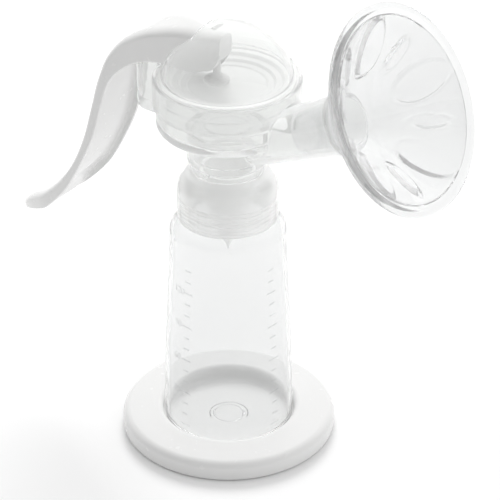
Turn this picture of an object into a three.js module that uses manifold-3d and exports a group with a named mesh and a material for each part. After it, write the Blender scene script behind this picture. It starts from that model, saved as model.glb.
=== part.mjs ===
// Manual lever breast pump, in millimetres, +Z up. Origin: middle of the stand's underside.
// The horn points to +X and the lever handle hangs on the -X side; the XZ plane is the mirror plane.
import * as THREE from "three";
import { mergeVertices } from "three/addons/utils/BufferGeometryUtils.js";
import Module from "manifold-3d";

const wasm = await Module();
wasm.setup();

const radians = THREE.MathUtils.degToRad;

const GAP = 0.3; // clearance left between two pieces that touch
const ROUND = 32; // sides of a full turn
const CLEAR = 60; // how far a cutting body runs past what it cuts

// Stand and bottle
const STAND_R = 44.3;
const WELL_R = 27.4;
const WELL_FLOOR = 2.4;
const BOTTLE_FOOT = WELL_FLOOR + GAP;
const BOTTLE_WALL = 1.6;
const MOUTH_Z = 115;
const NECK_R = 17;

// Thread of the bottle neck and the collar that turns on it
const PITCH = 4.3;
const THREAD_R = 18.2;
const COLLAR_R = 20.5;
const COLLAR_BORE = 18.7;
const COLLAR_FOOT = 100.9;
const COLLAR_TOP = 123.3;

// Pump body
const SPOUT_R = 14;
const HOUSING_R = 16.2;
const HOUSING_FOOT = 126.6;
const CUP_R = 28.4;
const CUP_FOOT = 141.2;
const CUP_RIM = 161.6;
const CUP_STEP = 152.4;
const CUP_UPPER_R = 27.2;

// Horn: its axis leans up from the pump's own axis; stations along it are distances from that axis
const HORN_TILT = radians(28.1);
const HORN_ROOT = 130.3;
const HORN_END = 63.5;
const HORN_WALL = 2.2;
const hornR = (s) => 11 + 0.098 * (s - 38.6);

// Breast shield and its cushion
const RIM_S = 93.5;
const RIM_R = 41.4;
const STEM_S = 43;
const SHIELD_WALL = 1.8;

// Cap, diaphragm and lever
const CAP_R = 29.7;
const CAP_WALL = 1.6;
const CAP_FOOT = 151.8;
const CAP_LEDGE = 164.4;
const DOME_R = 26.8;
const DOME_Z = 159.5;
const DOME_WALL = 1.8;
const DISC_Z = CUP_RIM + GAP;
const DISC_THICK = 1;
const PLATEAU_Z = 158.8;
const STEM_X = -5;
const PIVOT = new THREE.Vector3(-33, 0, 167.6);
const PIN_R = 1.8;
const CHEEK_R = 3.8;
const TOWER_HALF = 8.6;
const SLOT_FRONT = -9;
const SLOT_HALF = 13;
const SLOT_CORNER = 4;

const white = { color: 0xf7f7f6, roughness: 0.25 };
const clear = { color: 0xe9eef0, roughness: 0.08, transparent: true, opacity: 0.35 };
const milky = { color: 0xeef0ee, roughness: 0.2, transparent: true, opacity: 0.5 };
const silicone = { color: 0xf2f2ef, roughness: 0.5, transparent: true, opacity: 0.6 };

const v2 = (x, y) => new THREE.Vector2(x, y);

// A geometry as a manifold-3d solid, facing out whichever way it was wound.
function solid(geometry) {
  const plain = geometry.clone();
  plain.deleteAttribute("normal");
  plain.deleteAttribute("uv");
  const merged = mergeVertices(plain, 1e-4);
  const found = [...merged.index.array];
  const faces = [];
  for (let i = 0; i < found.length; i += 3) {
    const [a, b, c] = found.slice(i, i + 3);
    if (a !== b && b !== c && c !== a) faces.push(a, b, c);
  }
  const build = (triVerts) =>
    new wasm.Manifold(
      new wasm.Mesh({
        numProp: 3,
        vertProperties: merged.attributes.position.array,
        triVerts: new Uint32Array(triVerts),
      }),
    );
  const made = build(faces);
  return made.volume() >= 0 ? made : build(faces.reverse());
}

function meshOf(name, body, look) {
  const made = body.getMesh();
  const corners = new Float32Array(made.numVert * 3);
  for (let i = 0; i < made.numVert; i++) {
    corners.set(made.vertProperties.subarray(i * made.numProp, i * made.numProp + 3), i * 3);
  }
  const geometry = new THREE.BufferGeometry();
  geometry.setAttribute("position", new THREE.BufferAttribute(corners, 3));
  geometry.setIndex(new THREE.BufferAttribute(made.triVerts, 1));
  geometry.computeVertexNormals();
  const mesh = new THREE.Mesh(geometry, new THREE.MeshStandardMaterial(look));
  mesh.name = name;
  return mesh;
}

// Turns a closed (radius, height) outline about Z.
function turned(outline, sides = ROUND) {
  const points = outline.map(([r, z]) => v2(r, z));
  if (points[0].x > 0 || points.at(-1).x > 0) points.push(points[0].clone());
  return solid(new THREE.LatheGeometry(points, sides).rotateX(Math.PI / 2));
}

const rod = (r, low, high, sides = ROUND) =>
  turned([[0, low], [r, low], [r, high], [0, high]], sides);

// Points of a circular fillet about (cr, cz), from one angle to another, in degrees.
function fillet(cr, cz, r, from, to, steps = 4) {
  return Array.from({ length: steps + 1 }, (_, i) => {
    const a = radians(from + ((to - from) * i) / steps);
    return [cr + r * Math.cos(a), cz + r * Math.sin(a)];
  });
}

function box(x0, x1, y0, y1, z0, z1) {
  const geometry = new THREE.BoxGeometry(x1 - x0, y1 - y0, z1 - z0);
  return solid(geometry.translate((x0 + x1) / 2, (y0 + y1) / 2, (z0 + z1) / 2));
}

// Rod of radius r along Y through (x, z).
const crossRod = (r, half, x, z, sides = 24) =>
  solid(new THREE.CylinderGeometry(r, r, 2 * half, sides).translate(x, 0, z));

// Moves a body made along Z onto the horn's axis, its zero at the pump's own axis.
function ontoHorn(body) {
  const place = new THREE.Matrix4()
    .makeTranslation(0, 0, HORN_ROOT)
    .multiply(new THREE.Matrix4().makeRotationY(Math.PI / 2 - HORN_TILT));
  return body.transform(place.elements);
}

// Closed skin through rings of equal point counts, capped flat at both ends.
function lofted(rings) {
  const n = rings[0].length;
  const corners = rings.flat().flatMap((p) => [p.x, p.y, p.z]);
  const faces = [];
  for (let k = 0; k + 1 < rings.length; k++) {
    for (let i = 0; i < n; i++) {
      const a = k * n + i;
      const b = k * n + ((i + 1) % n);
      faces.push(a, b, b + n, a, b + n, a + n);
    }
  }
  for (const [ring, flip] of [[0, true], [rings.length - 1, false]]) {
    const centre = corners.length / 3;
    const middle = rings[ring].reduce((sum, p) => sum.add(p), new THREE.Vector3()).divideScalar(n);
    corners.push(middle.x, middle.y, middle.z);
    for (let i = 0; i < n; i++) {
      const a = ring * n + i;
      const b = ring * n + ((i + 1) % n);
      faces.push(...(flip ? [centre, b, a] : [centre, a, b]));
    }
  }
  const geometry = new THREE.BufferGeometry();
  geometry.setAttribute("position", new THREE.Float32BufferAttribute(corners, 3));
  geometry.setIndex(faces);
  return solid(geometry);
}

// Screw ridge between an inner and an outer radius, starting at height z and fading in at both ends.
function ridge({ root, crest, z, turns, width, phase = 0, steps = 20 }) {
  const count = Math.round(turns * steps);
  const rings = Array.from({ length: count + 1 }, (_, i) => {
    const a = phase + (i / steps) * 2 * Math.PI;
    const fade = Math.min(1, (4 * Math.min(i, count - i) + 1) / steps);
    const top = root + (crest - root) * fade;
    const middle = z + (PITCH * i) / steps;
    return [[root, -width / 2], [top, -width / 4], [top, width / 4], [root, width / 2]].map(
      ([r, h]) => new THREE.Vector3(r * Math.cos(a), r * Math.sin(a), middle + h),
    );
  });
  return lofted(rings);
}

function baseStand() {
  return turned([
    [0, 0],
    [WELL_R + 1.6, 0],
    [WELL_R + 1.6, 5.6],
    [38.5, 5.6],
    [39.5, 0],
    [STAND_R - 1.2, 0],
    ...fillet(STAND_R - 1.6, 1.6, 1.6, -60, 0, 3),
    ...fillet(STAND_R - 2.6, 5.6, 2.6, 0, 80, 5),
    [36, 8.9],
    [WELL_R + 2.2, 9.4],
    ...fillet(WELL_R + 0.8, 8.8, 0.8, 70, 180, 3),
    [WELL_R, WELL_FLOOR],
    [0, WELL_FLOOR],
  ]);
}

// Half section of the bottle's outside, from foot to mouth.
const BOTTLE_SIDE = [
  [25.6, BOTTLE_FOOT + 0.6],
  [26.7, BOTTLE_FOOT + 3.4],
  [26.8, 12],
  [26.6, 24],
  [26.1, 40],
  [25.1, 60],
  [24.1, 80],
  [23.9, 87],
  [23.6, 92],
  [22.8, 95.6],
  [21, 98.4],
  [18.6, 100],
  [NECK_R, 101.2],
];

function bottle() {
  const inside = BOTTLE_SIDE.slice(1).reverse().map(([r, z]) => [r - BOTTLE_WALL, z]);
  const shell = turned([
    [0, BOTTLE_FOOT + 0.8],
    [7.6, BOTTLE_FOOT + 0.8],
    [8.2, BOTTLE_FOOT],
    [24.2, BOTTLE_FOOT],
    ...BOTTLE_SIDE,
    [NECK_R, MOUTH_Z],
    [NECK_R - BOTTLE_WALL, MOUTH_Z],
    ...inside,
    [23.4, BOTTLE_FOOT + 2.4],
    [0, BOTTLE_FOOT + 2.4],
  ]);
  const thread = ridge({
    root: NECK_R - 0.4,
    crest: THREAD_R,
    z: 104.6,
    turns: 2.1,
    width: 1.8,
  });
  return shell.add(thread);
}

function screwCollar() {
  const ring = turned([
    [COLLAR_BORE, COLLAR_FOOT],
    [COLLAR_R - 0.3, COLLAR_FOOT],
    [COLLAR_R, COLLAR_FOOT + 0.4],
    [COLLAR_R, 113.4],
    [20.2, 116.2],
    [19.1, 119],
    [17.3, 121.6],
    [15.4, COLLAR_TOP],
    [SPOUT_R + 0.6, COLLAR_TOP],
    [SPOUT_R + 0.6, 121],
    [16.4, 119.2],
    [18.2, 116.6],
    [COLLAR_BORE, 114.6],
  ]);
  const thread = ridge({
    root: COLLAR_BORE + 0.4,
    crest: NECK_R + 0.5,
    z: 102.6 + 0.15,
    turns: 2,
    width: 1.3,
  });
  return ring.add(thread);
}

function pumpBody() {
  const outside = turned([
    [0, MOUTH_Z + GAP],
    [17.2, MOUTH_Z + GAP],
    [17.2, 116.4],
    [15.6, 118.8],
    [SPOUT_R, 120.2],
    [SPOUT_R, HOUSING_FOOT],
    [HOUSING_R - 0.8, HOUSING_FOOT],
    [HOUSING_R, HOUSING_FOOT + 0.8],
    [HOUSING_R, CUP_FOOT - 1],
    [HOUSING_R + 1, CUP_FOOT],
    ...fillet(CUP_R - 3, CUP_FOOT + 3, 3, -90, 0, 4),
    [CUP_R, CUP_STEP - 1],
    [CUP_UPPER_R, CUP_STEP - 0.8],
    [CUP_UPPER_R, 155.4],
    [CUP_UPPER_R + 0.55, 156],
    [CUP_UPPER_R + 0.55, 156.8],
    [CUP_UPPER_R, 157.4],
    [CUP_UPPER_R, CUP_RIM],
    [0, CUP_RIM],
  ]);
  const tube = ontoHorn(turned([
    [0, 4],
    [hornR(4), 4],
    [hornR(HORN_END - 1), HORN_END - 1],
    [hornR(HORN_END) - 0.4, HORN_END],
    [0, HORN_END],
  ]));
  const vent = solid(
    new THREE.CylinderGeometry(1.3, 1.3, 3, 16).translate(0, -SPOUT_R + 0.2, 125.1),
  );
  const inside = turned([
    [0, MOUTH_Z - 1],
    [11.8, MOUTH_Z - 1],
    [11.8, 128.4],
    [HOUSING_R - 2, 128.8],
    [HOUSING_R - 2, 139.4],
    [9, 140.4],
    [9, CUP_FOOT + 2],
    ...fillet(CUP_UPPER_R - 4.2, CUP_FOOT + 4.4, 2.4, -90, 0, 3),
    [CUP_UPPER_R - 1.8, CUP_RIM + 1],
    [0, CUP_RIM + 1],
  ]);
  const bore = ontoHorn(turned([
    [0, 6],
    [hornR(6) - HORN_WALL, 6],
    [hornR(HORN_END) - HORN_WALL, HORN_END + 1],
    [0, HORN_END + 1],
  ]));
  return outside.add(tube).add(vent).subtract(inside).subtract(bore);
}

function duckbillValve() {
  const slit = radians(-55);
  const along = v2(Math.cos(slit), Math.sin(slit));
  const ringAt = (length, width, z) =>
    Array.from({ length: 24 }, (_, i) => {
      const a = (i / 24) * 2 * Math.PI;
      const p = length * Math.cos(a);
      const q = width * Math.sin(a);
      return new THREE.Vector3(p * along.x - q * along.y, p * along.y + q * along.x, z);
    });
  const outside = lofted([
    ringAt(11.4, 11.4, 123),
    ringAt(11.4, 11.4, 112),
    ringAt(9.6, 9.6, 110.6),
    ringAt(9, 8.6, 106),
    ringAt(3.6, 0.7, 86.2),
  ]);
  const inside = lofted([
    ringAt(9.8, 9.8, 124),
    ringAt(9.8, 9.8, 113),
    ringAt(8.2, 8.2, 111),
    ringAt(7.6, 7.2, 106.5),
    ringAt(2.4, 0.25, 86),
  ]);
  return outside.subtract(inside);
}

// Funnel profile on the horn's axis: the inside of the shield from throat to lip.
const FUNNEL = [
  [9.2, 61],
  [10.6, 66],
  [13.4, 70.5],
  [18.6, 76],
  [25.4, 81.6],
  [32, 86.6],
  [36.6, 90.4],
];

function breastShield() {
  const bore = (s) => hornR(s) - HORN_WALL - GAP - 0.1;
  const behind = FUNNEL.slice(1).map(([r, s]) => [r + 1.5, s - 1.6]).reverse();
  return ontoHorn(turned([
    [bore(STEM_S) - 1.8, STEM_S],
    ...FUNNEL,
    [37.4, 92],
    [37.9, RIM_S - 0.5],
    [38.6, RIM_S],
    [RIM_R - 0.8, RIM_S],
    [RIM_R, RIM_S - 0.8],
    [RIM_R, RIM_S - 1.6],
    [RIM_R - 0.8, RIM_S - 2.4],
    [39.2, RIM_S - 2.6],
    ...behind.slice(0, -1),
    [hornR(HORN_END) - 1, HORN_END + 1.6],
    [hornR(HORN_END) - 1, HORN_END + 0.4],
    [bore(HORN_END - 1), HORN_END + 0.4],
    [bore(STEM_S), STEM_S],
  ]));
}

function massageCushion() {
  const skin = FUNNEL.slice(1).map(([r, s]) => [r - 0.5, s + 0.5]);
  const face = FUNNEL.slice(1).map(([r, s]) => [r - 1.7, s + 1.9]).reverse();
  return ontoHorn(turned([...skin, [36.9, 92.2], [36.6, 93], [35.8, 93.2], ...face]));
}

// A bowl that steps down from its clamped rim to the plateau the stem is fixed on.
function diaphragm() {
  const steps = [
    [26.9, DISC_Z],
    [22.8, DISC_Z],
    [21.6, 160.7],
    [19.4, 160.5],
    [18.4, 159.5],
    [16.4, 159.3],
    [15.6, PLATEAU_Z],
    [0, PLATEAU_Z],
  ];
  const lifted = steps.map(([r, z]) => [r, z + DISC_THICK]).reverse();
  return turned([...steps, ...lifted]);
}

function diaphragmStem() {
  const low = PLATEAU_Z + DISC_THICK + GAP;
  const shaft = turned([
    [0, low],
    [5.2, low],
    [5.2, low + 1.2],
    [2.8, low + 2],
    [1.6, low + 3.4],
    [1.6, 171.2],
    [2.6, 171.8],
    [2.6, 173.2],
    [2, 174],
    [0, 174],
  ], 24);
  return shaft.translate([STEM_X, 0, 0]);
}

// Dome outline of a given radius, from the ledge to the crown.
function dome(radius, low) {
  const start = Math.asin((low - DOME_Z) / radius);
  return Array.from({ length: 9 }, (_, i) => {
    const a = start + ((Math.PI / 2 - start) * i) / 8;
    return [radius * Math.cos(a), DOME_Z + radius * Math.sin(a)];
  });
}

// Pillar with a round outer end, seen from above, under the lever's pivot.
function pillar(reach, half, low, high) {
  const plan = new THREE.Shape();
  plan.moveTo(-20, -half);
  plan.lineTo(-20, half);
  plan.absarc(-reach + half, 0, half, Math.PI / 2, 1.5 * Math.PI, false);
  const geometry = new THREE.ExtrudeGeometry(plan, {
    depth: high - low,
    bevelEnabled: false,
    curveSegments: 16,
  });
  return solid(geometry.translate(0, 0, low));
}

// Opening the lever passes through: a wide slot across the dome's back, its front corners rounded.
function leverSlot() {
  const low = CAP_LEDGE + 0.6;
  const corner = rod(SLOT_CORNER, low, 200, 24);
  const shoulder = SLOT_HALF - SLOT_CORNER;
  return box(-CLEAR, SLOT_FRONT - SLOT_CORNER, -SLOT_HALF, SLOT_HALF, low, 200)
    .add(box(-CLEAR, SLOT_FRONT, -shoulder, shoulder, low, 200))
    .add(corner.translate([SLOT_FRONT - SLOT_CORNER, -shoulder, 0]))
    .add(corner.translate([SLOT_FRONT - SLOT_CORNER, shoulder, 0]));
}

function domeCap() {
  const reach = 42.6;
  const outside = dome(DOME_R, CAP_LEDGE);
  const inside = dome(DOME_R - DOME_WALL, CAP_LEDGE - 1.2).reverse();
  const shell = turned([
    [CAP_R - CAP_WALL, CAP_FOOT],
    [CAP_R - 0.3, CAP_FOOT],
    [CAP_R, CAP_FOOT + 0.3],
    ...fillet(CAP_R - 2.2, CAP_LEDGE - 2.2, 2.2, 0, 90, 5),
    ...outside,
    ...inside,
    [CAP_R - CAP_WALL, CAP_LEDGE - 1.2],
  ]);
  const tower = pillar(reach, TOWER_HALF, 142, 165.4).subtract(
    box(-50, -reach + 7, -20, 20, 130, 149).subtract(crossRod(7, 20, -reach + 7, 149, 32)),
  );
  const cheek = crossRod(CHEEK_R, TOWER_HALF, PIVOT.x, PIVOT.z).add(
    box(PIVOT.x - CHEEK_R, PIVOT.x + CHEEK_R, -TOWER_HALF, TOWER_HALF, 160, PIVOT.z),
  );
  const hollow = pillar(reach - 2, TOWER_HALF - 2, 146, 190).subtract(
    rod(CAP_R + 0.01, 130, 190),
  );
  const within = rod(CAP_R - CAP_WALL, 130, CAP_LEDGE - 1.2)
    .add(rod(CUP_R + GAP, 130, CUP_STEP));
  const domeRoom = turned([[0, 160], ...dome(DOME_R - DOME_WALL, 160)]);
  const hornRoom = ontoHorn(rod(hornR(40) + 0.8, 0, 60));
  return shell
    .subtract(leverSlot())
    .add(tower.add(cheek).subtract(within).subtract(domeRoom))
    .subtract(hollow)
    .subtract(hornRoom)
    .subtract(crossRod(PIN_R + 0.25, 40, PIVOT.x, PIVOT.z));
}

function pivotPin() {
  return crossRod(PIN_R, 10.2, PIVOT.x, PIVOT.z);
}

// Stations of the lever: back edge (x, z), rim edge (x, z) and half width, from arm end to nose.
const LEVER = [
  [-0.6, 181.3, -0.8, 172.5, 4.2],
  [-3.2, 181.2, -4.4, 166.6, 4.2],
  [-8.2, 180.5, -9, 164.6, 4.8],
  [-13.5, 180.8, -13.5, 163.8, 6.4],
  [-18.5, 181, -18.5, 164.4, 8],
  [-26, 180.1, -24, 166, 10.4],
  [-35, 177, -32.5, 164.8, 11.6],
  [-44.6, 170.8, -39.2, 161.6, 12.4],
  [-51.5, 162, -45.4, 156.4, 13.4],
  [-55.2, 151.4, -49.6, 149.8, 14.4],
  [-58.4, 138, -52.8, 138.4, 15.2],
  [-62.4, 123, -56.6, 124.6, 15.9],
  [-68.4, 109, -62.8, 111, 16.1],
  [-76.4, 98, -71.6, 95.6, 16],
  [-86, 89.2, -82.6, 83.4, 14.6],
  [-92.4, 85, -89.6, 78.8, 12.2],
  [-97.2, 81.4, -95, 76, 9.8],
  [-101.2, 77.6, -99.8, 73.5, 6.8],
  [-103.6, 74.3, -103, 72, 3.4],
  [-104.2, 73, -103.9, 71.8, 1.2],
];
const CHANNEL_START = 5 / (LEVER.length - 1);
const CHANNEL_END = 14.6 / (LEVER.length - 1);
const backEdge = new THREE.CatmullRomCurve3(LEVER.map(([x, z]) => new THREE.Vector3(x, 0, z)));
const rimEdge = new THREE.CatmullRomCurve3(
  LEVER.map(([, , x, z, half]) => new THREE.Vector3(x, half, z)),
);

// One cross section of the lever at t: a crowned back and straight sides, or the channel inside it.
function leverRing(t, { inset = 0, web = 0, past = 0 } = {}) {
  const back = backEdge.getPoint(t);
  const rim = rimEdge.getPoint(t);
  const half = Math.max(rim.y - inset, 0.5);
  rim.y = 0;
  const depth = back.distanceTo(rim);
  const down = rim.clone().sub(back).divideScalar(depth);
  const crown = Math.min(2.2, 0.55 * depth, half) * (inset ? 0.3 : 1);
  const shoulder = Math.min(half, 2 * crown);
  const foot = inset ? 0 : Math.min(1, depth / 4);
  const place = (y, d) => back.clone().addScaledVector(down, d).setY(y);
  const side = [];
  for (let i = 0; i <= 5; i++) {
    const a = (i / 5) * (Math.PI / 2);
    const y = half - shoulder * (1 - Math.sin(a));
    side.push([y, web + crown * (1 - Math.cos(a))]);
  }
  side.push([half, depth + past - foot], [half - foot, depth + past]);
  const mirrored = side.map(([y, d]) => [-y, d]).reverse();
  return [...side, ...mirrored].map(([y, d]) => place(y, d));
}

function handle() {
  const stations = (count, from, to) =>
    Array.from({ length: count + 1 }, (_, i) => from + ((to - from) * i) / count);
  const outside = lofted(stations(42, 0, 1).map((t) => leverRing(t)));
  const channel = lofted(
    stations(20, CHANNEL_START, CHANNEL_END).map((t) =>
      leverRing(t, { inset: 2.3, web: 2.3, past: 4 })),
  );
  // Keyhole under the arm: the stem's head goes in behind and slides forward over two ledges.
  const pocket = box(-15.6, STEM_X + 3.3, -3.1, 3.1, 170.4, 176.4)
    .add(box(-15.6, -8.9, -3.1, 3.1, 160, 171))
    .add(box(-9, STEM_X + 2.9, -2.2, 2.2, 160, 171));
  return outside
    .subtract(channel)
    .subtract(pocket)
    .subtract(crossRod(PIN_R + 0.25, 10.5, PIVOT.x, PIVOT.z));
}

const group = new THREE.Group();
for (const [name, body, look] of [
  ["base_stand", baseStand(), white],
  ["bottle", bottle(), clear],
  ["screw_collar", screwCollar(), clear],
  ["pump_body", pumpBody(), milky],
  ["duckbill_valve", duckbillValve(), silicone],
  ["breast_shield", breastShield(), clear],
  ["massage_cushion", massageCushion(), silicone],
  ["diaphragm", diaphragm(), silicone],
  ["diaphragm_stem", diaphragmStem(), white],
  ["dome_cap", domeCap(), milky],
  ["pivot_pin", pivotPin(), white],
  ["handle", handle(), white],
]) {
  group.add(meshOf(name, body, look));
}

export default group;
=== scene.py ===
"""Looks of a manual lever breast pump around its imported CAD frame.

Metres, +Z up. The horn points to +X, the lever hangs on the -X side and XZ is the mirror plane.
"""

import math

import bmesh
import bpy
import numpy as np
from mathutils import Matrix, Vector


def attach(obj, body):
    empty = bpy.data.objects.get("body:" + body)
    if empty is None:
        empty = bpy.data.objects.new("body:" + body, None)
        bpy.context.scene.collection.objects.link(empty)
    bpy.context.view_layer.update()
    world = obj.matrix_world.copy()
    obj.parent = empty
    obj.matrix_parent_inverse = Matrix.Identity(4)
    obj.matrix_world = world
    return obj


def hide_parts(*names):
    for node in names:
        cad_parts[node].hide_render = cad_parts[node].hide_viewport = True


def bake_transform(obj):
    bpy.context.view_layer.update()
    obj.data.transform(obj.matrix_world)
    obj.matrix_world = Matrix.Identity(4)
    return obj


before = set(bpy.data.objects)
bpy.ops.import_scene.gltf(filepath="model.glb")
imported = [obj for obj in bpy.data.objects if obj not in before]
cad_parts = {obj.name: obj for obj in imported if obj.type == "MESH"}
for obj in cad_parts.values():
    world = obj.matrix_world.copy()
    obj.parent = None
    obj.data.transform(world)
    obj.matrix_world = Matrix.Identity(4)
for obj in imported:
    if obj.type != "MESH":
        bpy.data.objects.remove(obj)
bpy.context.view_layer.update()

# Stand and bottle
GAP = 0.0003
STAND_R = 0.0443
WELL_R = 0.0274
WELL_FLOOR = 0.0024
BOTTLE_FOOT = WELL_FLOOR + GAP
BOTTLE_WALL = 0.0016
MOUTH = 0.115
NECK_R = 0.017
NECK_THREAD_FOOT = 0.1018

# Graduation lines: height of the lowest, pitch, lines to a long one, angles of the columns
SCALE_FOOT = 0.0115
SCALE_PITCH = 0.0052
SCALE_LONG = 3
SCALE_COLUMNS = (math.radians(-97), math.radians(-9))

# Thread of the bottle's neck and of the collar
PITCH = 0.0043
THREAD_R = 0.0182
COLLAR_R = 0.0205
COLLAR_BORE = 0.0187
COLLAR_FOOT = 0.1009
COLLAR_TOP = 0.1233
THREAD_STEP = 0.0003  # longest step along a threaded face

# Pump body
SPOUT_R = 0.014
HOUSING_R = 0.0162
HOUSING_FOOT = 0.1266
CUP_R = 0.0284
CUP_FOOT = 0.1412
CUP_STEP = 0.1524
CUP_UPPER_R = 0.0272
CUP_RIM = 0.1616

# Horn: stations along its axis are distances from the pump's own axis
HORN_TILT = math.radians(28.1)
HORN_ROOT = 0.1303
HORN_END = 0.0635
HORN_WALL = 0.0022
STEM_START = 0.043
SHIELD_WALL = 0.0018
RIM_S = 0.0935
RIM_R = 0.0414
CUSHION_THROAT_R = 0.0104
CUSHION_BACK = 0.0007  # from the funnel's inside to the cushion's back
CUSHION_FACE = 0.0016  # and to its face

# Cap, diaphragm and lever
CAP_R = 0.0297
CAP_WALL = 0.0016
CAP_FOOT = 0.1518
CAP_LEDGE = 0.1644
DOME_R = 0.0268
DOME_Z = 0.1595
DOME_WALL = 0.0018
TOWER_X = -0.0426
TOWER_HALF = 0.0086
SLOT_FRONT = -0.009
SLOT_HALF = 0.013
PIVOT = (-0.033, 0.1676)
PIN_R = 0.0018
PIN_HOLE_R = PIN_R + 0.00025
DISC_Z = CUP_RIM + GAP
DISC_THICK = 0.001
PLATEAU_Z = 0.1588
STEM_X = -0.005

SIDES = 144  # columns round a full turn
ARC_STEP = math.radians(10)  # longest step along a rounded corner
SHARP = math.radians(32)  # edges that turn more than this stay crisp
FAR = 0.06  # how far a cutting body runs past what it cuts
TINY = 1e-5  # two lengths closer than this are the same


# ---------------------------------------------------------------- lines and outlines


def corner_arc(before, corner, after, radius):
    """Points of the arc that rounds one corner of an outline."""
    before, corner, after = Vector(before), Vector(corner), Vector(after)
    back, on = before - corner, after - corner
    room = 0.499 * min(back.length, on.length)
    back.normalize()
    on.normalize()
    turn = math.pi - back.angle(on)
    if turn < 0.01:
        return [corner]
    reach = min(radius * math.tan(turn / 2), room)
    radius = reach / math.tan(turn / 2)
    centre = corner + (back + on).normalized() * math.hypot(radius, reach)
    arm = corner + back * reach - centre
    left = back.x * on.y - back.y * on.x < 0
    count = max(2, math.ceil(turn / ARC_STEP))
    return [
        centre + Matrix.Rotation((1 if left else -1) * turn * i / count, 2) @ arm
        for i in range(count + 1)
    ]


def rounded(outline, closed):
    """Outline of (u, v) or (u, v, corner radius) with its corners rounded."""
    made = []
    for i, (u, v, *radius) in enumerate(outline):
        inner = closed or 0 < i < len(outline) - 1
        if radius and inner:
            after = outline[(i + 1) % len(outline)]
            made += corner_arc(outline[i - 1][:2], (u, v), after[:2], radius[0])
        else:
            made.append(Vector((u, v)))
    return made


def curve_through(points, steps):
    """Points of a smooth curve through the given ones, with this many steps between two."""
    p = np.array(points, float)
    p = np.vstack([2 * p[0] - p[1], p, 2 * p[-1] - p[-2]])
    made = []
    for a, b, c, d in zip(p, p[1:], p[2:], p[3:]):
        for t in np.arange(steps) / steps:
            bend = (2 * a - 5 * b + 4 * c - d) * t**2 + (3 * b - a - 3 * c + d) * t**3
            made.append(b + ((c - a) * t + bend) / 2)
    return [*made, p[-2]]


def left_of(line):
    """Unit vectors at the points of a line in the plane that point to its left."""
    along = np.gradient(np.array(line, float), axis=0)
    along /= np.linalg.norm(along, axis=1)[:, None]
    return np.column_stack([-along[:, 1], along[:, 0]])


def beside(line, distance):
    """The line that runs beside another in the plane, to its left."""
    return np.array(line, float) + distance * left_of(line)


def closely(outline, step, inside):
    """The outline with points at most a step apart wherever inside(u, v) holds at both ends."""
    made = []
    for a, b in zip(outline, outline[1:] + outline[:1]):
        made.append(a)
        if inside(*a) and inside(*b):
            count = math.ceil((b - a).length / step)
            made += [a.lerp(b, i / count) for i in range(1, count)]
    return made


def smoothstep(x, low, high):
    """0 below low, 1 above high and a smooth step between them."""
    t = min(max((x - low) / (high - low), 0), 1)
    return t * t * (3 - 2 * t)


def angles_round(count):
    """Angles of this many columns round a full turn."""
    return np.arange(count) * 2 * math.pi / count


# ---------------------------------------------------------------- meshes


def piece_of(name, mesh):
    """An object from a bmesh whose faces are turned outwards."""
    bmesh.ops.remove_doubles(mesh, verts=mesh.verts, dist=1e-7)
    bmesh.ops.recalc_face_normals(mesh, faces=mesh.faces)
    data = bpy.data.meshes.new(name)
    mesh.to_mesh(data)
    mesh.free()
    piece = bpy.data.objects.new(name, data)
    bpy.context.scene.collection.objects.link(piece)
    return piece


def skin(mesh, low, high):
    """Faces between two rings of vertices. A ring of one vertex is a pole."""
    count = max(len(low), len(high))
    for i in range(count):
        j = (i + 1) % count
        ring = [low[i % len(low)], low[j % len(low)], high[j % len(high)], high[i % len(high)]]
        mesh.faces.new(list(dict.fromkeys(ring)))


def lofted(name, rings, around=False):
    """Skin through rings of points, closed on itself or with a face at each end."""
    mesh = bmesh.new()
    rings = [[mesh.verts.new(p) for p in ring] for ring in rings]
    for low, high in zip(rings, rings[1:] + (rings[:1] if around else [])):
        skin(mesh, low, high)
    if not around:
        for ring in (rings[0], rings[-1]):
            if len(ring) > 2:
                mesh.faces.new(ring)
    return piece_of(name, mesh)


def turned(name, outline, warp=None, dense=None, sides=SIDES):
    """Turns a rounded (radius, height) outline about Z.

    dense is (step, inside): see closely(). warp(radius, height, angle) moves each point.
    """
    closed = outline[0][0] > 0
    points = rounded(outline, closed)
    if dense:
        points = closely(points, *dense)
    rings = []
    for r, z in points:
        ring = []
        for a in angles_round(1 if r < 1e-9 else sides):
            rr, zz = warp(r, z, a) if warp else (r, z)
            ring.append((rr * math.cos(a), rr * math.sin(a), zz))
        rings.append(ring)
    return lofted(name, rings, around=closed)


def rod(radius, low, high, sides=SIDES):
    return turned("rod", [(0, low), (radius, low), (radius, high), (0, high)], sides=sides)


def prism(outline, low, high, along="Z"):
    """A rounded outline drawn out along Z from (x, y), or along Y from (x, z)."""
    points = rounded(outline, True)
    if along == "Z":
        rings = [[(u, v, h) for u, v in points] for h in (low, high)]
    else:
        rings = [[(u, h, v) for u, v in points] for h in (low, high)]
    return lofted("prism", rings)


def block(x0, x1, half, z0, z1):
    """Box between two values of x and of z that reaches as far to +Y as to -Y."""
    return prism([(x0, z0), (x1, z0), (x1, z1), (x0, z1)], -half, half, along="Y")


def cross_rod(radius, half, x, z, sides=64):
    """Rod along Y through (x, z)."""
    made = rod(radius, -half, half, sides)
    made.data.transform(Matrix.Translation((x, 0, z)) @ Matrix.Rotation(math.pi / 2, 4, "X"))
    return made


def onto_horn(piece):
    """Moves a piece made along Z onto the horn's axis."""
    turn = Matrix.Rotation(math.pi / 2 - HORN_TILT, 4, "Y")
    piece.data.transform(Matrix.Translation((0, 0, HORN_ROOT)) @ turn)
    return piece


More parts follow.
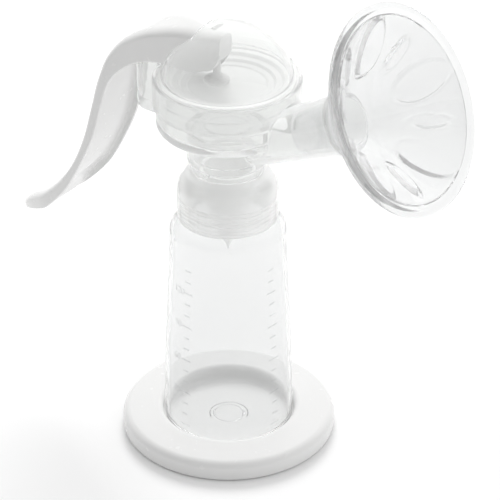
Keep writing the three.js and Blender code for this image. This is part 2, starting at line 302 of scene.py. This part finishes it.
def combine(body, tools, operation):
    """Joins, cuts or crosses body with tools, which are used up."""
    for tool in tools:
        modifier = body.modifiers.new(operation, "BOOLEAN")
        modifier.operation = operation
        modifier.solver = "EXACT"
        modifier.object = tool
        graph = bpy.context.evaluated_depsgraph_get()
        made = bpy.data.meshes.new_from_object(body.evaluated_get(graph))
        body.modifiers.clear()
        body.data = made
        bpy.data.objects.remove(tool)
    return body


def join(body, *tools):
    return combine(body, tools, "UNION")


def cut(body, *tools):
    return combine(body, tools, "DIFFERENCE")


def cross(body, *tools):
    return combine(body, tools, "INTERSECT")


def screw(start, turns, width, height):
    """Height of a screw ridge over the surface it stands on, at a height z and an angle."""

    def at(z, angle):
        for lap in range(math.ceil(turns)):
            t = angle / (2 * math.pi) + lap
            off = abs(z - start - PITCH * t)
            if t <= turns and off < width / 2:
                fade = min(1, 5 * t, 5 * (turns - t))
                return height * fade * min(1, (width / 2 - off) / (width / 4))
        return 0

    return at


# ---------------------------------------------------------------- materials


def finish_of(name, colours, roughness, grain, wave, mottle=60, **sockets):
    """Moulded plastic or silicone.

    The colour drifts between two, the roughness between two values. grain and wave are
    (scale, depth) of the fine texture and of the broad unevenness left by the mould.
    """
    material = bpy.data.materials.new(name)
    material.use_nodes = True
    nodes, links = material.node_tree.nodes, material.node_tree.links
    shader = nodes["Principled BSDF"]
    place = nodes.new("ShaderNodeTexCoord").outputs["Object"]

    def noise(scale, detail):
        node = nodes.new("ShaderNodeTexNoise")
        node.inputs["Scale"].default_value = scale
        node.inputs["Detail"].default_value = detail
        links.new(place, node.inputs["Vector"])
        return node.outputs["Fac"]

    def bump(scale, depth, detail, under):
        node = nodes.new("ShaderNodeBump")
        node.inputs["Strength"].default_value = 1
        node.inputs["Distance"].default_value = depth
        links.new(noise(scale, detail), node.inputs["Height"])
        if under:
            links.new(under, node.inputs["Normal"])
        return node.outputs["Normal"]

    colour = nodes.new("ShaderNodeMix")
    colour.data_type = "RGBA"
    colour.inputs["A"].default_value = (*colours[0], 1)
    colour.inputs["B"].default_value = (*colours[1], 1)
    links.new(noise(mottle, 3), colour.inputs["Factor"])
    links.new(colour.outputs["Result"], shader.inputs["Base Color"])
    gloss = nodes.new("ShaderNodeMapRange")
    gloss.inputs["From Min"].default_value = 0.3
    gloss.inputs["From Max"].default_value = 0.7
    gloss.inputs["To Min"].default_value = roughness[0]
    gloss.inputs["To Max"].default_value = roughness[1]
    links.new(noise(mottle * 4, 4), gloss.inputs["Value"])
    links.new(gloss.outputs["Result"], shader.inputs["Roughness"])
    broad = bump(*wave, 1, None)
    links.new(bump(*grain, 2, broad), shader.inputs["Normal"])
    for socket, value in sockets.items():
        shader.inputs[socket.replace("_", " ")].default_value = value
    return material


def make_finishes():
    """The object's materials by name."""
    white = finish_of(
        "white_gloss",
        [(0.785, 0.785, 0.78), (0.81, 0.81, 0.805)],
        roughness=(0.2, 0.28),
        grain=(2600, 1.5e-6),
        wave=(90, 5e-6),
        IOR=1.5,
        Coat_Weight=0.2,
        Coat_Roughness=0.08,
    )
    clear = finish_of(
        "clear_moulded",
        [(0.935, 0.94, 0.94), (0.95, 0.953, 0.953)],
        roughness=(0.02, 0.05),
        grain=(1500, 4e-7),
        wave=(90, 7e-6),
        IOR=1.3,
        Transmission_Weight=0.91,
    )
    funnel = finish_of(
        "clear_funnel",
        [(0.865, 0.87, 0.87), (0.885, 0.89, 0.89)],
        roughness=(0.1, 0.16),
        grain=(1500, 6e-7),
        wave=(90, 8e-6),
        IOR=1.12,
        Transmission_Weight=0.87,
    )
    milky = finish_of(
        "milky_moulded",
        [(0.94, 0.946, 0.94), (0.955, 0.961, 0.955)],
        roughness=(0.02, 0.05),
        grain=(1800, 6e-7),
        wave=(90, 8e-6),
        IOR=1.22,
        Transmission_Weight=0.77,
    )
    frosted = finish_of(
        "frosted_moulded",
        [(0.935, 0.938, 0.932), (0.95, 0.953, 0.947)],
        roughness=(0.04, 0.08),
        grain=(1800, 1e-6),
        wave=(90, 8e-6),
        IOR=1.3,
        Transmission_Weight=0.68,
    )
    silicone = finish_of(
        "white_silicone",
        [(0.94, 0.945, 0.94), (0.965, 0.968, 0.965)],
        roughness=(0.06, 0.12),
        grain=(2200, 1.5e-6),
        wave=(120, 6e-6),
        IOR=1.45,
        Transmission_Weight=0.3,
    )
    soft = finish_of(
        "clear_silicone",
        [(0.972, 0.975, 0.975), (0.985, 0.988, 0.988)],
        roughness=(0.04, 0.08),
        grain=(1700, 1.2e-6),
        wave=(110, 8e-6),
        IOR=1.43,
        Transmission_Weight=0.86,
    )
    return {
        "white": white,
        "clear": clear,
        "funnel": funnel,
        "milky": milky,
        "frosted": frosted,
        "silicone": silicone,
        "soft": soft,
    }


def dress(piece, look, nodes, body=None):
    """Gives a piece its material, smooth shading and place in the frame.

    Light passes freely through the see-through pieces.
    """
    shader = look.node_tree.nodes["Principled BSDF"]
    solid = shader.inputs["Transmission Weight"].default_value == 0
    piece.visible_shadow = solid
    piece.visible_diffuse = solid
    piece.data.materials.clear()
    piece.data.materials.append(look)
    piece.data.shade_smooth()
    piece.data.set_sharp_from_angle(angle=SHARP)
    normals = piece.modifiers.new("normals", "WEIGHTED_NORMAL")
    normals.keep_sharp = True
    if body:
        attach(piece, body)
    if nodes:
        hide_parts(*nodes)


# ---------------------------------------------------------------- stand, bottle, collar


def base_stand():
    """Round stand with the bottle's well on top and a ring-shaped hollow underneath."""
    return turned("stand_moulding", [
        (0, 0),
        (WELL_R + 0.0016, 0, 0.0004),
        (WELL_R + 0.0016, 0.0056, 0.0008),
        (0.0385, 0.0056, 0.0008),
        (0.0395, 0, 0.0004),
        (STAND_R, 0, 0.0015),
        (STAND_R, 0.0083, 0.0034),
        (0.036, 0.0089, 0.02),
        (WELL_R, 0.0097, 0.0022),
        (WELL_R, WELL_FLOOR, 0.0028),
        (0, WELL_FLOOR),
    ])


# Outside of the bottle from foot to neck: radius, height and how round the corner is.
BOTTLE_SIDE = [
    (0.0266, BOTTLE_FOOT, 0.0032),
    (0.0268, 0.013, 0.03),
    (0.0261, 0.04, 0.1),
    (0.0241, 0.08, 0.05),
    (0.0236, 0.098, 0.008),
    (NECK_R, 0.101, 0.0012),
]


def bottle_shell():
    """Bottle with a shallow dish and a ring in its foot, and a thread on its neck."""
    inside = [
        (r - BOTTLE_WALL, z - 0.0005, max(0.0006, corner - BOTTLE_WALL))
        for r, z, corner in reversed(BOTTLE_SIDE[1:])
    ]
    foot = BOTTLE_FOOT
    outline = [
        (0, foot + 0.0008),
        (0.0058, foot + 0.0008, 0.0003),
        (0.0062, foot + 0.0003, 0.0002),
        (0.0066, foot + 0.0008, 0.0003),
        (0.0077, foot + 0.0008, 0.0003),
        (0.0083, foot, 0.0003),
        *BOTTLE_SIDE,
        (NECK_R, MOUTH, 0.0005),
        (NECK_R - BOTTLE_WALL, MOUTH, 0.0005),
        *inside,
        (0.0250, foot + 0.0024, 0.0030),
        (0, foot + 0.0024),
    ]
    ridge = screw(0.1046, 2.1, 0.0018, THREAD_R - NECK_R)

    def on_neck(r, z):
        return r > NECK_R - TINY and z > NECK_THREAD_FOOT

    def threaded(r, z, angle):
        return (r + ridge(z, angle), z) if on_neck(r, z) else (r, z)

    return turned(
        "bottle_shell",
        outline,
        warp=threaded,
        dense=(THREAD_STEP, lambda r, z: on_neck(r, z) and z < MOUTH - 0.0002),
    )


def bottle_radius(z):
    """Radius of the bottle's straight side at a height."""
    return 0.0268 - 0.0007 * smoothstep(z, 0.013, 0.04) - 0.00005 * max(0, z * 1000 - 40)


def scale_height(line):
    """Height of a graduation line, counted from the lowest."""
    return SCALE_FOOT + SCALE_PITCH * line


def bottle_scale():
    """Raised graduation lines in two columns, each third one long."""
    mesh = bmesh.new()

    def raised(angle, z, width, height):
        rings = []
        for proud in (-0.0001, 0.00007):
            rim = [(-1, -1), (0, -1), (1, -1), (1, 1), (0, 1), (-1, 1)]
            squeeze = 0 if proud < 0 else 0.00005
            ring = []
            for u, v in rim:
                a = angle + u * (width / 2 - squeeze) / bottle_radius(z)
                h = z + v * (height / 2 - squeeze)
                r = bottle_radius(h) + proud
                ring.append(mesh.verts.new((r * math.cos(a), r * math.sin(a), h)))
            rings.append(ring)
        skin(mesh, *rings)
        mesh.faces.new(rings[0])
        mesh.faces.new(rings[1])

    for column in SCALE_COLUMNS:
        for i in range(15):
            width = 0.0028 if i % SCALE_LONG else 0.0048
            raised(column, scale_height(i), width, 0.0006)
    return piece_of("bottle_scale", mesh)


def scale_number(value, angle, z):
    """A small raised number wrapped onto the bottle's side."""
    curve = bpy.data.curves.new("number", "FONT")
    curve.body = str(value)
    curve.size = 0.0042
    curve.align_x = "CENTER"
    curve.align_y = "CENTER"
    curve.extrude = 0.00008
    flat = bpy.data.objects.new("number", curve)
    bpy.context.scene.collection.objects.link(flat)
    graph = bpy.context.evaluated_depsgraph_get()
    data = bpy.data.meshes.new_from_object(flat.evaluated_get(graph))
    bpy.data.objects.remove(flat)
    for vertex in data.vertices:
        u, v, proud = vertex.co
        r = bottle_radius(z + v) + proud
        a = angle + u / bottle_radius(z)
        vertex.co = (r * math.cos(a), r * math.sin(a), z + v)
    mesh = bmesh.new()
    mesh.from_mesh(data)
    return piece_of(f"scale_number_{value}", mesh)


def screw_collar():
    """Ring with a thread inside and fine grooves round its outside."""
    ridge = screw(0.10275, 2, 0.0013, COLLAR_BORE - NECK_R - 0.0005)
    grip = []
    for z in np.arange(0.1024, 0.1125, 0.00185):
        grip += [(COLLAR_R, z - 0.0004), (COLLAR_R - 0.00028, z), (COLLAR_R, z + 0.0004)]
    outline = [
        (COLLAR_BORE, COLLAR_FOOT, 0.0003),
        (COLLAR_R, COLLAR_FOOT, 0.0004),
        *grip,
        (COLLAR_R, 0.1134, 0.004),
        (0.0202, 0.1162, 0.006),
        (0.0191, 0.119, 0.006),
        (0.0173, 0.1216, 0.005),
        (0.0154, COLLAR_TOP, 0.0008),
        (SPOUT_R + 0.0006, COLLAR_TOP, 0.0003),
        (SPOUT_R + 0.0006, 0.121, 0.0004),
        (0.0164, 0.1192, 0.003),
        (0.0182, 0.1166, 0.003),
        (COLLAR_BORE, 0.1146, 0.0012),
    ]

    def on_bore(r, z):
        return abs(r - COLLAR_BORE) < TINY

    def threaded(r, z, angle):
        inside = on_bore(r, z) and z > COLLAR_FOOT + 0.0004
        return (r - ridge(z, angle), z) if inside else (r, z)

    return turned("collar_ring", outline, warp=threaded, dense=(THREAD_STEP, on_bore))


# ---------------------------------------------------------------- pump body, valve


def horn_r(s):
    """Outer radius of the horn at a station along it."""
    return 0.011 + 0.098 * (s - 0.0386)


def pump_body():
    """Flange, spout, housing and cup in one, with the horn, hollowed out."""
    flange, duct, room, throat = 0.0172, 0.0118, 0.0142, 0.009
    bead = CUP_UPPER_R + 0.00055
    body = turned("pump_housing", [
        (0, MOUTH + GAP),
        (flange, MOUTH + GAP, 0.0003),
        (flange, 0.1164, 0.0003),
        (0.0156, 0.1188, 0.0008),
        (SPOUT_R, 0.1202, 0.0006),
        (SPOUT_R, HOUSING_FOOT, 0.0004),
        (HOUSING_R, HOUSING_FOOT, 0.0009),
        (HOUSING_R, CUP_FOOT, 0.0014),
        (CUP_R, CUP_FOOT, 0.0032),
        (CUP_R, CUP_STEP - 0.0009, 0.0004),
        (CUP_UPPER_R, CUP_STEP - 0.0008, 0.0003),
        (CUP_UPPER_R, 0.1554, 0.0003),
        (bead, 0.1559, 0.0003),
        (bead, 0.1569, 0.0003),
        (CUP_UPPER_R, 0.1574, 0.0003),
        (CUP_UPPER_R, CUP_RIM, 0.0005),
        (0, CUP_RIM),
    ])
    tube = onto_horn(turned("tube", [
        (0, 0.004),
        (horn_r(0.004), 0.004),
        (horn_r(HORN_END), HORN_END, 0.0006),
        (0, HORN_END),
    ]))
    bore = onto_horn(turned("bore", [
        (0, 0.006),
        (horn_r(0.006) - HORN_WALL, 0.006),
        (horn_r(HORN_END) - HORN_WALL, HORN_END + 0.001),
        (0, HORN_END + 0.001),
    ]))
    inside = turned("inside", [
        (0, MOUTH - 0.001),
        (duct, MOUTH - 0.001),
        (duct, 0.1284, 0.001),
        (room, 0.1288, 0.0008),
        (room, 0.1394, 0.0012),
        (throat, 0.1404, 0.0008),
        (throat, CUP_FOOT + 0.002, 0.0008),
        (CUP_UPPER_R - 0.0018, CUP_FOOT + 0.002, 0.0028),
        (CUP_UPPER_R - 0.0018, CUP_RIM + 0.001),
        (0, CUP_RIM + 0.001),
    ])
    return cut(join(body, tube, vent_boss()), inside, bore)


def vent_boss():
    """Small round boss with a dimple on the spout's front."""
    boss = turned("boss", [
        (0, 0),
        (0.0013, 0),
        (0.0013, 0.0017, 0.0003),
        (0.0006, 0.0017, 0.0002),
        (0.0005, 0.0009),
        (0, 0.0009),
    ], sides=32)
    turn = Matrix.Rotation(math.pi / 2, 4, "X")
    boss.data.transform(Matrix.Translation((0, 0.0004 - SPOUT_R, 0.1251)) @ turn)
    return boss


def duckbill_valve():
    """Soft sleeve that narrows to two lips. Each station is its half length, half width and z."""
    turn = Matrix.Rotation(math.radians(-55), 3, "Z")
    stations = [
        (0.0114, 0.0114, 0.1230),
        (0.0114, 0.0114, 0.1226),
        (0.0114, 0.0114, 0.1150),
        (0.0114, 0.0114, 0.1122),
        (0.0097, 0.0097, 0.1108),
        (0.0093, 0.0092, 0.1090),
        (0.0088, 0.0084, 0.1055),
        (0.0062, 0.0045, 0.0957),
        (0.0037, 0.0009, 0.0866),
        (0.0035, 0.0006, 0.0862),
        (0.0024, 0.0003, 0.0862),
        (0.0050, 0.0036, 0.0957),
        (0.0074, 0.0070, 0.1060),
        (0.0082, 0.0082, 0.1110),
        (0.0097, 0.0097, 0.1130),
        (0.0098, 0.0098, 0.1160),
        (0.0098, 0.0098, 0.1226),
        (0.0099, 0.0099, 0.1230),
    ]
    rings = []
    for length, width, z in curve_through(stations, 3):
        ring = []
        for a in angles_round(96):
            ring.append(turn @ Vector((length * math.cos(a), width * math.sin(a), z)))
        rings.append(ring)
    return lofted("valve_sleeve", rings, around=True)


# ---------------------------------------------------------------- shield and cushion

# Inside of the funnel along the horn: radius and station, from throat to lip.
FUNNEL = curve_through([
    (0.0092, 0.061),
    (0.0106, 0.066),
    (0.0134, 0.0705),
    (0.0186, 0.076),
    (0.0254, 0.0816),
    (0.032, 0.0866),
    (0.0366, 0.0904),
], 8)


def breast_shield():
    """Funnel with a flat lip and a stem that fits the horn's bore."""

    def bore(s):
        return horn_r(s) - HORN_WALL - GAP - 0.0001

    behind = [p for p in beside(FUNNEL, -0.0019)[::-1] if p[0] > horn_r(HORN_END) + 0.0004]
    outline = [
        (bore(STEM_START) - SHIELD_WALL, STEM_START, 0.0004),
        *FUNNEL,
        (0.0376, 0.0922, 0.001),
        (0.0384, RIM_S, 0.0006),
        (RIM_R, RIM_S, 0.0011),
        (RIM_R, RIM_S - 0.0025, 0.0011),
        (0.0389, RIM_S - 0.0027, 0.001),
        *behind[4:],
        (horn_r(HORN_END) - 0.001, HORN_END + 0.0016, 0.0006),
        (horn_r(HORN_END) - 0.001, HORN_END + 0.0004, 0.0003),
        (bore(HORN_END - 0.001), HORN_END + 0.0004, 0.0003),
        (bore(STEM_START), STEM_START, 0.0004),
    ]
    return onto_horn(turned("shield_funnel", outline))


# Pads of the cushion: (how many, first angle from the top, middle radius, half length, half width)
PADS = [
    (5, math.radians(12), 0.0263, 0.0098, 0.0068),
    (5, math.radians(48), 0.0258, 0.0064, 0.0027),
]
PAD_RISE = 0.0014
PAD_EDGE = 0.0006  # width of the slope at a pad's edge
MOAT_DEPTH = 0.0005
MOAT_WIDTH = 0.0009


def pad_rise(r, angle):
    """How far the cushion's face stands up, or dips beside a pad, at a radius and an angle."""
    rise, dip = 0, 0
    for count, first, middle, long, wide in PADS:
        pitch = 2 * math.pi / count
        off = (angle - first + pitch / 2) % pitch - pitch / 2
        q = math.hypot((r - middle) / long, r * off / wide)
        inward = (1 - q) * wide
        if inward > 0:
            rise = max(rise, PAD_RISE * smoothstep(inward, 0, PAD_EDGE) * (1 - 0.2 * q * q))
        elif inward > -MOAT_WIDTH:
            dip = max(dip, MOAT_DEPTH * math.sin(-math.pi * inward / MOAT_WIDTH))
    return rise or -dip


def massage_cushion():
    """Soft skin that lines the funnel, with raised oval pads on its open side."""
    line = [p for p in curve_through(FUNNEL, 3) if p[0] > CUSHION_THROAT_R]
    back = beside(line, CUSHION_BACK)[::3]
    face = beside(line, CUSHION_FACE)
    angles = angles_round(496)

    def ring(point, normal=None):
        made = []
        for a in angles:
            rise = pad_rise(point[0], math.pi - a) if normal is not None else 0
            r, s = (point + rise * normal) if rise else point
            made.append((r * math.cos(a), r * math.sin(a), s))
        return made

    rings = [ring(p) for p in back]
    rings += [ring(p) for p in [(0.0368, 0.0917), (0.0369, 0.0924), (0.0365, 0.0929)]]
    rings += [ring(p, normal) for p, normal in zip(face[::-1], left_of(line)[::-1])]
    return onto_horn(lofted("cushion_skin", rings, around=True))


# ---------------------------------------------------------------- diaphragm, stem, cap


def diaphragm():
    """Thin disc whose middle steps down to a flat plateau. bowl is its underside."""
    bowl = [
        (0.0156, PLATEAU_Z, 0.0006),
        (0.0164, 0.1593, 0.0004),
        (0.0184, 0.1595, 0.0004),
        (0.0194, 0.1605, 0.0004),
        (0.0216, 0.1607, 0.0004),
        (0.0228, DISC_Z, 0.0005),
    ]
    lifted = [(r, z + DISC_THICK, corner) for r, z, corner in reversed(bowl)]
    return turned("diaphragm_skin", [
        (0, PLATEAU_Z),
        *bowl,
        (0.0269, DISC_Z, 0.0003),
        (0.0269, DISC_Z + DISC_THICK, 0.0003),
        *lifted,
        (0, PLATEAU_Z + DISC_THICK),
    ])


def diaphragm_stem():
    """Rod with a foot over the diaphragm and a head inside the lever's arm."""
    low = PLATEAU_Z + DISC_THICK + GAP
    stem = turned("stem_rod", [
        (0, low),
        (0.0052, low, 0.0003),
        (0.0052, low + 0.0012, 0.0005),
        (0.0028, low + 0.002, 0.001),
        (0.0016, low + 0.0034, 0.001),
        (0.0016, 0.1712, 0.0003),
        (0.0026, 0.1718, 0.0003),
        (0.0026, 0.1732, 0.0004),
        (0.002, 0.174, 0.0003),
        (0, 0.174),
    ], sides=64)
    stem.data.transform(Matrix.Translation((STEM_X, 0, 0)))
    return stem


def dome_line(radius, low):
    """Outline of a dome of a radius, from a height to its crown."""
    start = math.asin((low - DOME_Z) / radius)
    return [
        (radius * math.cos(a), DOME_Z + radius * math.sin(a))
        for a in np.linspace(start, math.pi / 2, 24)
    ]


def pillar(inset, low, high, corner):
    """Pillar beside the cap, its outer end round from above and its foot round from the side."""
    reach, half = TOWER_X + inset, TOWER_HALF - inset
    plan = prism([
        (-0.02, -half),
        (-0.02, half),
        (reach, half, half),
        (reach, -half, half),
    ], low - 0.001, high + 0.001)
    side = prism([
        (-0.01, low),
        (reach, low, corner),
        (reach, high, 0.001),
        (-0.01, high),
    ], -FAR, FAR, along="Y")
    return cross(plan, side)


def lever_slot():
    """Opening across the dome's back that the lever passes through, its front corners rounded."""
    return prism([
        (-FAR, -SLOT_HALF),
        (SLOT_FRONT, -SLOT_HALF, 0.004),
        (SLOT_FRONT, SLOT_HALF, 0.004),
        (-FAR, SLOT_HALF),
    ], CAP_LEDGE + 0.0006, 0.2)


def dome_cap():
    """Dome and skirt with pillar and cheeks, hollowed out and cut for lever, horn and pin."""
    foot, _, *crown = dome_line(DOME_R, CAP_LEDGE)
    cap = turned("cap_dome", [
        (0, CAP_FOOT),
        (CAP_R, CAP_FOOT, 0.0004),
        (CAP_R, CAP_LEDGE, 0.0024),
        (*foot, 0.0016),
        *crown[:-1],
        (0, DOME_Z + DOME_R),
    ])
    inner_r = DOME_R - DOME_WALL
    inside = turned("inside", [
        (0, 0.13),
        (CUP_R + GAP, 0.13),
        (CUP_R + GAP, CAP_FOOT + 0.0003),
        (CAP_R - CAP_WALL, CAP_FOOT + 0.0006),
        (CAP_R - CAP_WALL, CAP_LEDGE - 0.0012, 0.0005),
        *dome_line(inner_r, CAP_LEDGE - 0.0012)[:-1],
        (0, DOME_Z + inner_r),
    ])
    px, pz = PIVOT
    cheek = prism([
        (px - 0.0038, 0.16),
        (px + 0.0038, 0.16),
        (px + 0.0038, pz + 0.0038, 0.0038),
        (px - 0.0038, pz + 0.0038, 0.0038),
    ], -TOWER_HALF, TOWER_HALF, along="Y")
    hollow = cut(pillar(0.002, 0.146, 0.19, 0.005), rod(CAP_R + TINY, 0.13, 0.2))
    horn_room = onto_horn(rod(horn_r(0.04) + 0.0008, 0, 0.06))
    join(cut(cap, lever_slot()), pillar(0, 0.142, 0.1654, 0.007), cheek)
    return cut(cap, inside, hollow, horn_room, cross_rod(PIN_HOLE_R, 0.04, px, pz))


def pivot_pin():
    """Pin along Y that the lever turns on."""
    half = 0.0102
    pin = turned("hinge_pin", [
        (0, -half),
        (PIN_R, -half, 0.0004),
        (PIN_R, half, 0.0004),
        (0, half),
    ], sides=48)
    px, pz = PIVOT
    pin.data.transform(Matrix.Translation((px, 0, pz)) @ Matrix.Rotation(math.pi / 2, 4, "X"))
    return pin


# ---------------------------------------------------------------- lever

# Stations of the lever from arm end to nose: back edge (x, z), rim edge (x, z) and half width.
LEVER = [
    (-0.0006, 0.1813, -0.0008, 0.1725, 0.0042),
    (-0.0032, 0.1812, -0.0044, 0.1666, 0.0042),
    (-0.0082, 0.1805, -0.0090, 0.1646, 0.0048),
    (-0.0135, 0.1808, -0.0135, 0.1638, 0.0064),
    (-0.0185, 0.1810, -0.0185, 0.1644, 0.0080),
    (-0.0260, 0.1801, -0.0240, 0.1660, 0.0104),
    (-0.0350, 0.1770, -0.0325, 0.1648, 0.0116),
    (-0.0446, 0.1708, -0.0392, 0.1616, 0.0124),
    (-0.0515, 0.1620, -0.0454, 0.1564, 0.0134),
    (-0.0552, 0.1514, -0.0496, 0.1498, 0.0144),
    (-0.0584, 0.1380, -0.0528, 0.1384, 0.0152),
    (-0.0624, 0.1230, -0.0566, 0.1246, 0.0159),
    (-0.0684, 0.1090, -0.0628, 0.1110, 0.0161),
    (-0.0764, 0.0980, -0.0716, 0.0956, 0.0160),
    (-0.0860, 0.0892, -0.0826, 0.0834, 0.0146),
    (-0.0924, 0.0850, -0.0896, 0.0788, 0.0122),
    (-0.0972, 0.0814, -0.0950, 0.0760, 0.0098),
    (-0.1012, 0.0776, -0.0998, 0.0735, 0.0068),
    (-0.1036, 0.0743, -0.1030, 0.0720, 0.0034),
    (-0.1042, 0.0730, -0.1039, 0.0718, 0.0012),
]
LEVER_WALL = 0.0018
LEVER_WEB = 0.0026
CHANNEL = (5, 14.6)  # stations between which the channel runs


def lever_section(half, top, foot, bend, shoulder, lip):
    """Closed section as (y, depth below the back) with a crowned top and rounded lower corners."""
    side = [(share * (half - shoulder), top) for share in (0, 0.4, 0.8)]
    for a in np.linspace(0, math.pi / 2, 10):
        side.append((half - shoulder * (1 - math.sin(a)), top + bend * (1 - math.cos(a))))
    for a in np.linspace(0, math.pi / 2, 6):
        side.append((half - lip * (1 - math.cos(a)), foot - lip * (1 - math.sin(a))))
    side += [(share * (half - lip), foot) for share in (0.66, 0.33, 0)]
    return side + [(-y, d) for y, d in reversed(side[1:-1])]


def lever_ring(station, channel=None):
    """Ring of points round the lever, or round its channel where that is open this far, 0 to 1."""
    back = np.array([station[0], 0, station[1]])
    rim = np.array([station[2], 0, station[3]])
    half = station[4]
    depth = np.linalg.norm(rim - back)
    down = (rim - back) / depth
    if channel is None:
        crown = min(0.003, 0.45 * depth, half)
        lip = min(0.0007, depth / 4, half / 2)
        section = lever_section(half, 0, depth, crown, min(half, 2 * crown), lip)
    else:
        top = depth + 0.0005 + (LEVER_WEB - depth - 0.0005) * channel
        section = lever_section(half - LEVER_WALL, top, depth + 0.004, 0.0013, 0.0016, 0)
    return [back + down * d + np.array([0, y, 0]) for y, d in section]


def handle():
    """Lever with a long channel on its inner side, a keyhole under its arm and the pin's hole."""
    steps = 8
    stations = curve_through(LEVER, steps)
    lever = lofted("lever_moulding", [lever_ring(s) for s in stations])
    start, end = CHANNEL
    opened = {
        i: smoothstep(i / steps, start - 0.1, start + 0.8) * smoothstep(i / steps, end, end - 1.5)
        for i in range(math.ceil(start * steps), math.floor(end * steps))
    }
    channel = lofted("channel", [lever_ring(stations[i], share) for i, share in opened.items()])
    # Keyhole under the arm: the stem's head goes in behind and slides forward over two ledges.
    pocket = block(-0.0156, STEM_X + 0.0033, 0.0031, 0.1704, 0.1764)
    entry = block(-0.0156, -0.0089, 0.0031, 0.16, 0.171)
    throat = block(-0.009, STEM_X + 0.0029, 0.0022, 0.16, 0.171)
    pin_hole = cross_rod(PIN_HOLE_R, 0.0105, *PIVOT)
    return cut(lever, channel, join(pocket, entry, throat), pin_hole)


# ---------------------------------------------------------------- room, lights, camera


def make_floor():
    """Pale floor just under the stand."""
    mesh = bmesh.new()
    bmesh.ops.create_grid(mesh, x_segments=8, y_segments=8, size=4)
    floor = piece_of("floor", mesh)
    material = bpy.data.materials.new("floor")
    material.use_nodes = True
    shader = material.node_tree.nodes["Principled BSDF"]
    shader.inputs["Base Color"].default_value = (0.93, 0.93, 0.93, 1)
    shader.inputs["Roughness"].default_value = 0.6
    shader.inputs["Specular IOR Level"].default_value = 0.2
    floor.data.materials.append(material)
    floor.location.z = -0.0001


def make_world():
    """Soft white room, dimmer in front of the pump on the lever's side."""
    world = bpy.data.worlds.new("room")
    bpy.context.scene.world = world
    world.use_nodes = True
    nodes, links = world.node_tree.nodes, world.node_tree.links
    direction = nodes.new("ShaderNodeTexCoord").outputs["Generated"]
    facing = nodes.new("ShaderNodeVectorMath")
    facing.operation = "DOT_PRODUCT"
    facing.inputs[1].default_value = Vector((0.1, -0.97, 0.2)).normalized()
    links.new(direction, facing.inputs[0])
    strength = nodes.new("ShaderNodeMapRange")
    strength.inputs["From Min"].default_value = 0.2
    strength.inputs["From Max"].default_value = 0.85
    strength.inputs["To Min"].default_value = 0.96
    strength.inputs["To Max"].default_value = 0.42
    links.new(facing.outputs["Value"], strength.inputs["Value"])
    background = nodes["Background"]
    background.inputs["Color"].default_value = (1, 1, 1, 1)
    links.new(strength.outputs["Result"], background.inputs["Strength"])


def area_light(name, place, target, size, power):
    """Round lamp that shows neither in glossy faces nor through clear pieces."""
    data = bpy.data.lights.new(name, "AREA")
    data.shape = "DISK"
    data.size = size
    data.energy = power
    light = bpy.data.objects.new(name, data)
    bpy.context.scene.collection.objects.link(light)
    light.location = place
    light.visible_glossy = False
    light.visible_transmission = False
    light.rotation_euler = (Vector(target) - Vector(place)).to_track_quat("-Z", "Y").to_euler()


def make_camera():
    place = Vector((0.5747, -0.8053, 0.6829))
    target = Vector((-0.014, 0.0355, 0.0613))
    data = bpy.data.cameras.new("camera")
    data.sensor_width = 36
    data.lens = 204.7
    data.clip_start = 0.05
    camera = bpy.data.objects.new("camera", data)
    bpy.context.scene.collection.objects.link(camera)
    camera.location = place
    camera.rotation_euler = (target - place).to_track_quat("-Z", "Y").to_euler()
    bpy.context.scene.camera = camera


# ---------------------------------------------------------------- the scene

make_camera()
make_floor()
make_world()
area_light("overhead", (-0.6, 0.85, 1.0), (0, 0, 0.08), 0.7, 10)
bpy.context.scene.view_settings.view_transform = "Standard"

look = make_finishes()
dress(base_stand(), look["white"], ["base_stand"], "stand")
dress(bottle_shell(), look["clear"], ["bottle"], "bottle_body")
dress(bottle_scale(), look["clear"], [], "bottle_body")
for step, value in enumerate((30, 60, 90, 120), 1):
    number = scale_number(value, SCALE_COLUMNS[0] - 0.2, scale_height(SCALE_LONG * step))
    dress(number, look["clear"], [], "bottle_body")
dress(screw_collar(), look["frosted"], ["screw_collar"], "collar")
dress(pump_body(), look["milky"], ["pump_body"], "head")
dress(duckbill_valve(), look["silicone"], ["duckbill_valve"], "head")
dress(breast_shield(), look["funnel"], ["breast_shield"], "shield")
dress(massage_cushion(), look["soft"], ["massage_cushion"], "shield")
dress(diaphragm_stem(), look["white"], ["diaphragm_stem"], "stem")
dress(dome_cap(), look["milky"], ["dome_cap"], "cap")
dress(pivot_pin(), look["white"], ["pivot_pin"], "cap")
dress(handle(), look["white"], ["handle"], "lever")

membrane = diaphragm()
dress(membrane, look["silicone"], ["diaphragm"])
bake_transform(membrane)
